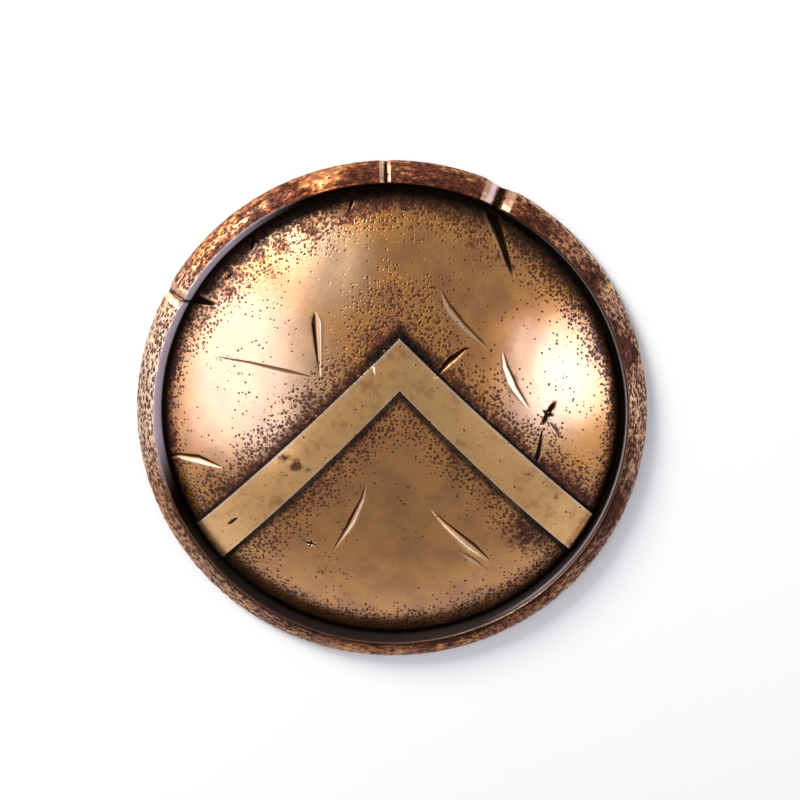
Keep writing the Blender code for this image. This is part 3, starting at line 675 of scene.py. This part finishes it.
class Finish:
    """A Principled material whose further nodes all come from node()."""

    def __init__(self, name):
        self.material = bpy.data.materials.new(name)
        self.material.use_nodes = True
        self.nodes = self.material.node_tree.nodes
        self.links = self.material.node_tree.links
        self.shader = self.nodes["Principled BSDF"]

    def feed(self, node, socket, value):
        if isinstance(value, Reading):
            self.links.new(value.socket, node.inputs[socket])
        else:
            node.inputs[socket].default_value = value

    def node(self, kind, settings=None, sockets=None, output=0):
        """Adds a node: its settings first, then its sockets' values or links."""
        node = self.nodes.new(kind)
        for setting, value in (settings or {}).items():
            setattr(node, setting, value)
        for socket, value in (sockets or {}).items():
            self.feed(node, socket, value)
        return Reading(self, node.outputs[output])

    def mark(self, name, output="Fac"):
        return self.node("ShaderNodeAttribute", {"attribute_name": name}, output=output)

    def place(self, scale=(1.0, 1.0, 1.0)):
        """Object coordinates, scaled."""
        own = self.node("ShaderNodeTexCoord", output="Object")
        return self.node("ShaderNodeMapping", {}, {"Vector": own, "Scale": scale})

    def noise(self, place, scale, detail=3.0, roughness=0.55, distortion=0.0):
        sockets = {"Vector": place, "Scale": scale, "Detail": detail, "Roughness": roughness,
                   "Distortion": distortion}
        return self.node("ShaderNodeTexNoise", {}, sockets, "Fac")

    def between(self, value, low, high):
        """Eases a value from 0 at low to 1 at high."""
        return self.node("ShaderNodeMapRange", {"interpolation_type": "SMOOTHSTEP"},
                         {"Value": value, "From Min": low, "From Max": high})

    def mix(self, factor, first, second):
        """A colour between two colours; colours are given as three numbers or a reading."""
        full = [(*item, 1.0) if isinstance(item, tuple) else item for item in (first, second)]
        return self.node("ShaderNodeMix", {"data_type": "RGBA"}, {0: factor, 6: full[0], 7: full[1]}, 2)

    def blend(self, factor, first, second):
        """A place between two places."""
        return self.node("ShaderNodeMix", {"data_type": "VECTOR"}, {0: factor, 4: first, 5: second}, 1)

    def bump(self, height, distance):
        return self.node("ShaderNodeBump", {}, {"Height": height, "Distance": distance})

    def set(self, **sockets):
        """Feeds the shader's sockets; a name's underscores stand for spaces."""
        for name, value in sockets.items():
            self.feed(self.shader, name.replace("_", " "), value)


PIT_SPACING = 0.0043
GOLD = (0.720, 0.302, 0.046)
COPPER = (0.520, 0.198, 0.036)
RIM_GOLD = (0.660, 0.330, 0.115)
RIM_COPPER = (0.290, 0.090, 0.034)
CHEVRON_GOLD = (0.970, 0.520, 0.155)
PALE_GOLD = (0.960, 0.800, 0.620)
MAROON = (0.160, 0.038, 0.020)
BLACK_BROWN = (0.010, 0.006, 0.004)
LILAC_REFLECTION = (0.820, 0.720, 0.830)
BACK_BROWN = (0.210, 0.088, 0.032)


def pit_layer(finish, spacing, place, density):
    """Uneven pits: 1 inside a pit. Density from 0 to 1 says how many cells hold one."""
    jitter = finish.node("ShaderNodeTexNoise", {}, {"Vector": place, "Scale": 0.9 / spacing, "Detail": 2.0},
                         "Color")
    bent = finish.node("ShaderNodeVectorMath", {"operation": "MULTIPLY_ADD"},
                       {0: jitter, 1: (spacing * 0.7,) * 3, 2: place})
    sockets = {"Vector": bent, "Scale": 1.0 / spacing, "Randomness": 0.85}
    cell = {"feature": "F1"}
    distance = finish.node("ShaderNodeTexVoronoi", cell, sockets, "Distance")
    chance = finish.node("ShaderNodeTexVoronoi", cell, sockets, "Color")
    pick = finish.node("ShaderNodeSeparateColor", {}, {"Color": chance}, "Red")
    size = finish.node("ShaderNodeSeparateColor", {}, {"Color": chance}, "Green")
    there = finish.between(density - pick, -0.03, 0.03)
    radius = 0.20 + size * 0.14 + density * 0.20
    return (1.0 - finish.between(distance - radius, -0.07, 0.07)) * there


def bronze_finish():
    finish = Finish("antique_bronze")
    place = finish.place()
    pitting, grime_and_shading, gash = finish.mark("pitting"), finish.mark("grime_and_shading"), finish.mark("gash")
    wall, rubbed_and_highlight, behind = finish.mark("painted_wall_light_and_shade"), finish.mark("rubbed_and_highlight"), finish.mark("behind")
    chevron, moulding, shade = finish.mark("chevron"), finish.mark("moulding"), finish.mark("shade")
    pit_place = finish.blend(moulding, place, finish.mark("rim_place", "Vector"))
    cloud = finish.noise(place, 24.0, 4.0, 0.6)
    mottle = finish.noise(pit_place, 140.0, 4.0, 0.65)
    grain = finish.noise(pit_place, 430.0, 3.0, 0.6)
    density = pitting * (0.80 + cloud * 0.52)
    pits = pit_layer(finish, PIT_SPACING, pit_place, density)
    small_pits = pit_layer(finish, PIT_SPACING * 0.62, pit_place, density - 0.26)
    pitted = pits.at_least(small_pits * 0.85)
    spread = (mottle - 0.5) * 0.95 + (cloud - 0.5) * 0.40
    # Dirt darkens the colour; on the rim it also carries painted light and shade.
    dirt_and_shading = finish.between(grime_and_shading + spread, 0.34, 0.66)
    gold = finish.mix(finish.between(cloud, 0.36, 0.66), GOLD, COPPER)
    rim_tone = finish.mix(finish.between(mottle + cloud * 0.6, 0.54, 0.90), RIM_GOLD, RIM_COPPER)
    gold = finish.mix(moulding, gold, rim_tone)
    aged = finish.between(mottle * 0.5 + cloud * 0.8, 0.58, 0.86)
    gold = finish.mix(chevron * (1.0 - aged * 0.85), gold, CHEVRON_GOLD)
    # Wear and painted highlights pale the gold.
    gold = finish.mix(rubbed_and_highlight * 0.85, gold, PALE_GOLD)
    tone = finish.between(mottle + grime_and_shading * 0.25, 0.52, 0.84)
    colour = finish.mix(dirt_and_shading * 0.95, gold, finish.mix(tone, MAROON, BLACK_BROWN))
    pit_tone = finish.mix(finish.between(grain, 0.36, 0.60), MAROON, BLACK_BROWN)
    colour = finish.mix(pitted * 0.95, colour, pit_tone)
    # Painted shade turns the colour nearly black.
    colour = finish.mix(shade * 0.97, colour, BLACK_BROWN)
    lit = finish.mark("wall_light")
    # The rim's inner wall: a painted lilac reflection where it is lit, painted black shade elsewhere.
    colour = finish.mix(wall * 0.98, colour, finish.mix(lit, BLACK_BROWN, LILAC_REFLECTION))
    # Cuts, punctures and notch slots: dark with dirt and painted shade.
    colour = finish.mix(gash * 0.98, colour, BLACK_BROWN)
    inside_tone = finish.mix(finish.between(cloud, 0.38, 0.64), BACK_BROWN, COPPER)
    colour = finish.mix(behind * (1.0 - dirt_and_shading * 0.6), colour, inside_tone)
    finish.set(Base_Color=colour, Metallic=1.0 - wall * lit * 0.70 - pitted * 0.25)
    finish.set(Roughness=0.27 + grain * 0.08 + dirt_and_shading * 0.14 + pitted * 0.18 + gash * 0.35 + wall * 0.15
               + moulding * 0.18 + behind * 0.10)
    cover = (1.0 - dirt_and_shading * 0.75) * (1.0 - gash) * (1.0 - shade) * (1.0 - wall)
    cover = cover * (1.0 - pitted * 0.85)
    finish.set(Coat_Weight=cover * (0.95 - moulding * 0.87) * (1.0 - behind * 0.7), Coat_Roughness=0.20, Coat_IOR=2.0)
    height = grain * 0.04 + mottle * 0.16 - pitted * 0.22
    finish.set(Normal=finish.bump(height, 0.0009))
    return finish.material


def add_piece(name, mesh, material, replaced):
    """Shows a mesh as a piece of the shield in place of a solid."""
    piece = bpy.data.objects.new(name, mesh)
    bpy.context.scene.collection.objects.link(piece)
    mesh.materials.append(material)
    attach(piece, "root")
    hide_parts(replaced)


add_piece("worked_shell", shell_mesh, bronze_finish(), "shield_shell")

# Arm band
# A strip of darker bronze is riveted inside the dome at both ends, and stands off it between them as
# the loop that the forearm goes through. Its long edges are filed round.
SEAT_GAP = 0.0005
ARM_BAND_WIDTH = 0.044
ARM_BAND_SHEET = 0.002
ARM_BAND_REACH = 0.152
ARM_LOOP_SPAN = 0.108
ARM_LOOP_DEPTH = 0.060
ARM_BEND_RADIUS = 0.008
DARK_BRONZE = (0.200, 0.105, 0.050)
WORN_BRONZE = (0.560, 0.320, 0.150)


class Seat:
    """A place on the dome's inside: the middle of a strap, its run and its breadth."""

    def __init__(self, bearing, distance, run):
        tilt = math.asin(distance / INSIDE_SPHERE)
        self.out = Vector((math.sin(tilt) * math.cos(bearing), math.sin(tilt) * math.sin(bearing),
                           math.cos(tilt)))
        self.along = (run - self.out * run.dot(self.out)).normalized()
        self.across = self.along.cross(self.out)

    def direction(self, run, breadth):
        turn, lean = run / INSIDE_SPHERE, breadth / INSIDE_SPHERE
        return ((self.out * math.cos(turn) + self.along * math.sin(turn)) * math.cos(lean)
                + self.across * math.sin(lean))

    def point(self, run, depth, breadth):
        """The place that lies run along, breadth across and depth in from the dome's inside."""
        return DOME_CENTRE + self.direction(run, breadth) * (INSIDE_SPHERE - depth)

    def frame(self, run, breadth):
        """Axes at the dome's inside, with Z pointing in, away from the sheet."""
        inward = -self.direction(run, breadth)
        side = self.along.cross(inward).normalized()
        axes = Matrix((side.cross(inward), side, inward)).transposed().to_4x4()
        return Matrix.Translation(self.point(run, 0.0, breadth)) @ axes


def arm_band_path():
    """The strip runs flat on the dome, bends off it, swings round the loop's half oval, and back."""
    flat = SEAT_GAP + ARM_BAND_SHEET / 2.0
    half_span = (ARM_LOOP_SPAN + ARM_BAND_SHEET) / 2.0
    swing = ARM_LOOP_DEPTH + ARM_BAND_SHEET / 2.0 - flat - ARM_BEND_RADIUS
    bend_run = half_span + ARM_BEND_RADIUS
    half = [Vector((ARM_BAND_REACH + (bend_run - ARM_BAND_REACH) * step / 16.0, flat)) for step in range(16)]
    for step in range(8):
        turn = math.pi / 2.0 * step / 8.0
        half.append(Vector((bend_run - ARM_BEND_RADIUS * math.sin(turn),
                            flat + ARM_BEND_RADIUS * (1.0 - math.cos(turn)))))
    for step in range(24):
        turn = math.pi / 2.0 * step / 24.0
        half.append(Vector((half_span * math.cos(turn), flat + ARM_BEND_RADIUS + swing * math.sin(turn))))
    lowest = Vector((0.0, flat + ARM_BEND_RADIUS + swing))
    return half + [lowest] + [Vector((-place.x, place.y)) for place in half[::-1]]


def strap_mesh(name, seat, path, width, thickness, corner, squareness):
    """A strip with rounded edges along a path of run and depth; corner rounds its ends in plan."""
    inner, outer = inset_path(path, -thickness / 2.0), inset_path(path, thickness / 2.0)
    reach = abs(path[0].x)
    around_count = 32
    bm = bmesh.new()
    bmesh.ops.create_grid(bm, x_segments=len(path) - 1, y_segments=around_count, size=0.5)
    edge = {}
    for vert in bm.verts:
        place = round((vert.co.x + 0.5) * (len(path) - 1))
        turn = vert.co.y * 2.0 * math.pi
        across = math.copysign(abs(math.cos(turn)) ** squareness, math.cos(turn))
        height = math.copysign(abs(math.sin(turn)) ** squareness, math.sin(turn))
        run, depth = inner[place].lerp(outer[place], 0.5 + 0.5 * height)
        left_over = max(0.0, corner - (reach - abs(path[place].x)))
        taper = corner - math.sqrt(corner ** 2 - left_over ** 2)
        vert.co = seat.point(run, depth, across * (width / 2.0 - taper))
        edge[vert] = abs(across)
    bmesh.ops.remove_doubles(bm, verts=bm.verts, dist=MERGE_REACH)
    ends = [item for item in bm.edges if item.is_boundary]
    bmesh.ops.holes_fill(bm, edges=ends, sides=0)
    bmesh.ops.recalc_face_normals(bm, faces=bm.faces)
    edge_values = [edge[vert] for vert in bm.verts]
    mesh = bpy.data.meshes.new(name)
    bm.to_mesh(mesh)
    bm.free()
    keep_mark(mesh, "edge", np.array(edge_values))
    mesh.shade_smooth()
    mesh.set_sharp_from_angle(angle=math.radians(50.0))
    return mesh


def dark_bronze_finish():
    finish = Finish("dark_bronze")
    place = finish.place()
    cloud = finish.noise(place, 38.0, 4.0, 0.6)
    grain = finish.noise(place, 520.0, 3.0, 0.6)
    beats = finish.node("ShaderNodeTexVoronoi", {"feature": "SMOOTH_F1"}, {"Vector": place, "Scale": 95.0,
                                                                         "Smoothness": 0.6}, "Distance")
    worn = finish.between(finish.mark("edge") + cloud * 0.10 + beats * 0.10, 0.98, 1.10)
    aged = finish.mix(finish.between(cloud, 0.36, 0.68) * 0.60, DARK_BRONZE, BLACK_BROWN)
    finish.set(Base_Color=finish.mix(worn * 0.85, aged, WORN_BRONZE), Metallic=0.92)
    finish.set(Roughness=0.50 + grain * 0.16 - worn * 0.22)
    finish.set(Normal=finish.bump(beats * 0.5 + grain * 0.12, 0.0009))
    return finish.material


arm_seat = Seat(0.0, 0.0, Vector((0.0, 1.0, 0.0)))
arm_mesh = strap_mesh("arm_strip", arm_seat, arm_band_path(), ARM_BAND_WIDTH, ARM_BAND_SHEET, 0.006, 0.22)
add_piece("arm_strip", arm_mesh, dark_bronze_finish(), "arm_band")

# Hand grip
# A thick strap of brown leather, stitched along both sides, is riveted inside the dome near its
# border and bows off it, so that the fingers close round it.
GRIP_DISTANCE = 0.185
GRIP_WIDTH = 0.025
GRIP_THICKNESS = 0.0035
GRIP_BOW_SPAN = 0.116
GRIP_RISE_RUN = 0.026
GRIP_FOOT = 0.020
GRIP_FINGER_GAP = 0.032
GRIP_CORNER = 0.009
STITCH_LENGTH = 0.0034
STITCH_WIDTH = 0.0010
STITCH_EDGE = 0.0036
STITCH_PACE = 0.0050
LEATHER = (0.125, 0.052, 0.024)
LEATHER_DARK = (0.032, 0.014, 0.008)
THREAD = (0.300, 0.200, 0.110)


def grip_path():
    """A flat foot, an S-bend off the dome, a straight handle at the finger gap, and the same back."""
    flat = SEAT_GAP + GRIP_THICKNESS / 2.0
    bow = GRIP_FINGER_GAP + GRIP_THICKNESS / 2.0 - flat
    half_span = GRIP_BOW_SPAN / 2.0
    half = [Vector((half_span + GRIP_FOOT * (1.0 - step / 16.0), flat)) for step in range(16)]
    for step in range(19):
        share = step / 18.0
        half.append(Vector((half_span - GRIP_RISE_RUN * share,
                            flat + bow * (0.5 - 0.5 * math.cos(math.pi * share)))))
    half += [Vector(((half_span - GRIP_RISE_RUN) * (1.0 - step / 8.0), flat + bow)) for step in range(1, 8)]
    return half + [Vector((0.0, flat + bow))] + [Vector((-place.x, place.y)) for place in half[::-1]]


def add_stitches(mesh, seat, path):
    """Two rows of thread along a strap, half sunk in its inner face."""
    bm = bmesh.new()
    bm.from_mesh(mesh)
    thread = bm.verts.layers.float.new("thread")
    face_path = inset_path(path, -GRIP_THICKNESS / 2.0)
    travelled, due = 0.0, GRIP_CORNER
    length = sum((after - here).length for here, after in zip(face_path, face_path[1:]))
    for here, after in zip(face_path, face_path[1:]):
        run = after - here
        while due < travelled + run.length and due < length - GRIP_CORNER:
            place = here + run * (due - travelled) / run.length
            for breadth in (-GRIP_WIDTH / 2.0 + STITCH_EDGE, GRIP_WIDTH / 2.0 - STITCH_EDGE):
                middle = seat.point(*place, breadth)
                heading = (seat.point(*(place + run), breadth) - middle).normalized()
                upright = heading.cross(seat.across).normalized()
                axes = Matrix((heading, upright.cross(heading), upright)).transposed().to_4x4()
                size = Matrix.Diagonal((STITCH_LENGTH, STITCH_WIDTH, STITCH_WIDTH, 1.0))
                made = bmesh.ops.create_uvsphere(bm, u_segments=8, v_segments=6, radius=0.5,
                                                 matrix=Matrix.Translation(middle) @ axes @ size)
                for vert in made["verts"]:
                    vert[thread] = 1.0
            due += STITCH_PACE
        travelled += run.length
    for item in bm.faces:
        item.smooth = True
    bm.to_mesh(mesh)
    bm.free()


def leather_finish():
    finish = Finish("brown_leather")
    place = finish.place()
    cloud = finish.noise(place, 55.0, 4.0, 0.6)
    creases = finish.node("ShaderNodeTexVoronoi", {"feature": "DISTANCE_TO_EDGE"},
                          {"Vector": finish.place((1.0, 1.6, 1.0)), "Scale": 620.0}, "Distance")
    grain = finish.noise(place, 900.0, 2.0, 0.5)
    edge, thread = finish.mark("edge"), finish.mark("thread")
    burnished = finish.between(edge + cloud * 0.12, 0.90, 1.04)
    hide = finish.mix(finish.between(cloud, 0.35, 0.68), LEATHER, LEATHER_DARK)
    hide = finish.mix(burnished * 0.8, hide, LEATHER_DARK)
    finish.set(Base_Color=finish.mix(thread, hide, THREAD), Roughness=0.56 + grain * 0.16 - burnished * 0.14)
    height = finish.between(creases, 0.0, 0.14) * 0.6 + cloud * 0.5 + grain * 0.08
    finish.set(Normal=finish.bump(height, 0.0005))
    return finish.material


grip_seat = Seat(math.pi, GRIP_DISTANCE, Vector((0.0, 1.0, 0.0)))
grip_mesh = strap_mesh("stitched_grip", grip_seat, grip_path(), GRIP_WIDTH, GRIP_THICKNESS, GRIP_CORNER, 0.36)
add_stitches(grip_mesh, grip_seat, grip_path())
add_piece("stitched_grip", grip_mesh, leather_finish(), "hand_grip")

# Rivets
# Six bronze rivets hold the arm band and the hand grip. Each has a shank through the strap and a low
# head that was hammered to a dome.
ARM_RIVET_EDGE = 0.011
ARM_RIVET_INSET = 0.012
RIVET_SHANK_RADIUS = 0.002
RIVET_HEAD_RADIUS = 0.005
RIVET_HEAD_RISE = 0.0026
RIVET_TURNS = 28
RIVET_RINGS = 7
HAMMER_MARK = 0.00022
RIVET_BRONZE = (0.440, 0.250, 0.115)


def rivet_finish():
    finish = Finish("rivet_bronze")
    place = finish.place()
    cloud = finish.noise(place, 180.0, 4.0, 0.6)
    grain = finish.noise(place, 900.0, 3.0, 0.6)
    worn = finish.between(finish.mark("crown") + cloud * 0.4, 0.75, 1.15)
    aged = finish.mix(finish.between(cloud, 0.42, 0.60), RIVET_BRONZE, MAROON)
    finish.set(Base_Color=finish.mix(worn * 0.7, aged, PALE_GOLD), Metallic=0.95)
    finish.set(Roughness=0.40 + grain * 0.16 - worn * 0.10, Normal=finish.bump(cloud * 0.5 + grain * 0.2, 0.0004))
    return finish.material


def rivet_mesh(name, seat, run, breadth, strap_thickness, seed):
    """A shank through the strap and a hammered head on it."""
    head_seat = SEAT_GAP + strap_thickness + SEAT_GAP
    profile = [(0.0, SEAT_GAP), (RIVET_SHANK_RADIUS, SEAT_GAP), (RIVET_SHANK_RADIUS, head_seat)]
    for ring in range(RIVET_RINGS):
        turn = math.pi / 2.0 * ring / RIVET_RINGS
        profile.append((RIVET_HEAD_RADIUS * math.cos(turn), head_seat + RIVET_HEAD_RISE * math.sin(turn)))
    profile.append((0.0, head_seat + RIVET_HEAD_RISE))
    bm = bmesh.new()
    verts = [bm.verts.new((distance, 0.0, height)) for distance, height in profile]
    edges = [bm.edges.new(pair) for pair in zip(verts, verts[1:])]
    bmesh.ops.spin(bm, geom=[*verts, *edges], cent=(0.0, 0.0, 0.0), axis=(0.0, 0.0, 1.0),
                   angle=2.0 * math.pi, steps=RIVET_TURNS, use_merge=True)
    bmesh.ops.remove_doubles(bm, verts=bm.verts, dist=1e-6)
    bmesh.ops.recalc_face_normals(bm, faces=bm.faces)
    spots = np.array([vert.co for vert in bm.verts])
    crown = np.clip((spots[:, 2] - head_seat) / RIVET_HEAD_RISE, 0.0, 1.0)
    beats = np.abs(waves(spots[:, 0], spots[:, 1], 0.0042, seed, 8)) * HAMMER_MARK
    for vert, beat, share in zip(bm.verts, beats, crown):
        vert.co.z -= min(beat, HAMMER_MARK * 1.5) * share
    bm.transform(seat.frame(run, breadth))
    mesh = bpy.data.meshes.new(name)
    bm.to_mesh(mesh)
    bm.free()
    keep_mark(mesh, "crown", crown)
    mesh.shade_smooth()
    mesh.set_sharp_from_angle(angle=math.radians(50.0))
    return mesh


rivet_material = rivet_finish()
arm_run = ARM_BAND_REACH - ARM_RIVET_INSET
arm_breadth = ARM_BAND_WIDTH / 2.0 - ARM_RIVET_EDGE
arm_places = [(end * arm_run, side * arm_breadth) for end in (1, -1) for side in (-1, 1)]
grip_run = (GRIP_BOW_SPAN + GRIP_FOOT) / 2.0
for group, seat, places_here, strap_thickness in (
        ("arm", arm_seat, arm_places, ARM_BAND_SHEET),
        ("grip", grip_seat, [(grip_run, 0.0), (-grip_run, 0.0)], GRIP_THICKNESS)):
    for number, (run, breadth) in enumerate(places_here, 1):
        name = f"hammered_{group}_rivet_{number}"
        mesh = rivet_mesh(name, seat, run, breadth, strap_thickness, number)
        add_piece(name, mesh, rivet_material, f"{group}_rivet_{number}")

# Studio
# A pale floor, a large soft box on each side, a strong window from the upper left that casts the
# soft shadow, a pale surround with a dim ceiling, and the camera beyond the chevron's tip.
CAMERA_PLACE = Vector((0.0314, 0.4412, 1.7488))
CAMERA_AIM = Vector((0.0101, 0.0213, 0.004))
CAMERA_LENS = 67.65

floor_builder = bmesh.new()
bmesh.ops.create_grid(floor_builder, x_segments=1, y_segments=1, size=40.0)
floor_mesh = bpy.data.meshes.new("floor")
floor_builder.to_mesh(floor_mesh)
floor_builder.free()
floor = bpy.data.objects.new("floor", floor_mesh)
bpy.context.scene.collection.objects.link(floor)
floor_finish = Finish("white_floor")
floor_finish.set(Base_Color=(0.82, 0.82, 0.82, 1.0), Roughness=0.85)
floor_mesh.materials.append(floor_finish.material)


def soft_box(name, place, size, radiance, colour):
    """An area light that faces the shield, as bright as its radiance says."""
    light = bpy.data.lights.new(name, "AREA")
    light.shape = "RECTANGLE"
    light.size, light.size_y = size
    light.energy = radiance * math.pi * size[0] * size[1]
    light.color = colour
    box = bpy.data.objects.new(name, light)
    box.location = place
    box.rotation_euler = (-Vector(place)).to_track_quat("-Z", "Y").to_euler()
    bpy.context.scene.collection.objects.link(box)


soft_box("left_soft_box", (-1.80, 0.10, 1.70), (1.90, 1.30), 1.9, (1.0, 0.97, 1.12))
soft_box("right_soft_box", (2.06, 0.04, 1.52), (1.12, 1.56), 3.0, (1.0, 0.98, 1.12))
soft_box("upper_left_window", (-3.10, 3.30, 2.00), (1.7, 1.7), 42.0, (1.0, 0.98, 0.93))

world = bpy.data.worlds.new("studio")
world.use_nodes = True
sky_nodes, sky_links = world.node_tree.nodes, world.node_tree.links
heading = sky_nodes.new("ShaderNodeTexCoord")
parts = sky_nodes.new("ShaderNodeSeparateXYZ")
level = sky_nodes.new("ShaderNodeMapRange")
level.interpolation_type = "SMOOTHSTEP"
for socket, value in (("From Min", 0.30), ("From Max", 0.62), ("To Min", 0.80), ("To Max", 0.33)):
    level.inputs[socket].default_value = value
sky_links.new(heading.outputs["Generated"], parts.inputs[0])
sky_links.new(parts.outputs["Z"], level.inputs["Value"])
sky_links.new(level.outputs[0], sky_nodes["Background"].inputs["Strength"])
sky_nodes["Background"].inputs["Color"].default_value = (0.97, 0.97, 1.0, 1.0)
bpy.context.scene.world = world

camera_data = bpy.data.cameras.new("camera")
camera_data.lens = CAMERA_LENS
camera_data.sensor_width = 36.0
camera = bpy.data.objects.new("camera", camera_data)
forward = (CAMERA_AIM - CAMERA_PLACE).normalized()
right = forward.cross(Vector((0.0, 1.0, 0.0))).normalized()
axes = Matrix((right, right.cross(forward), -forward)).transposed().to_4x4()
camera.matrix_world = Matrix.Translation(CAMERA_PLACE) @ axes
bpy.context.scene.collection.objects.link(camera)
bpy.context.scene.camera = camera
bpy.context.scene.view_settings.view_transform = "Standard"
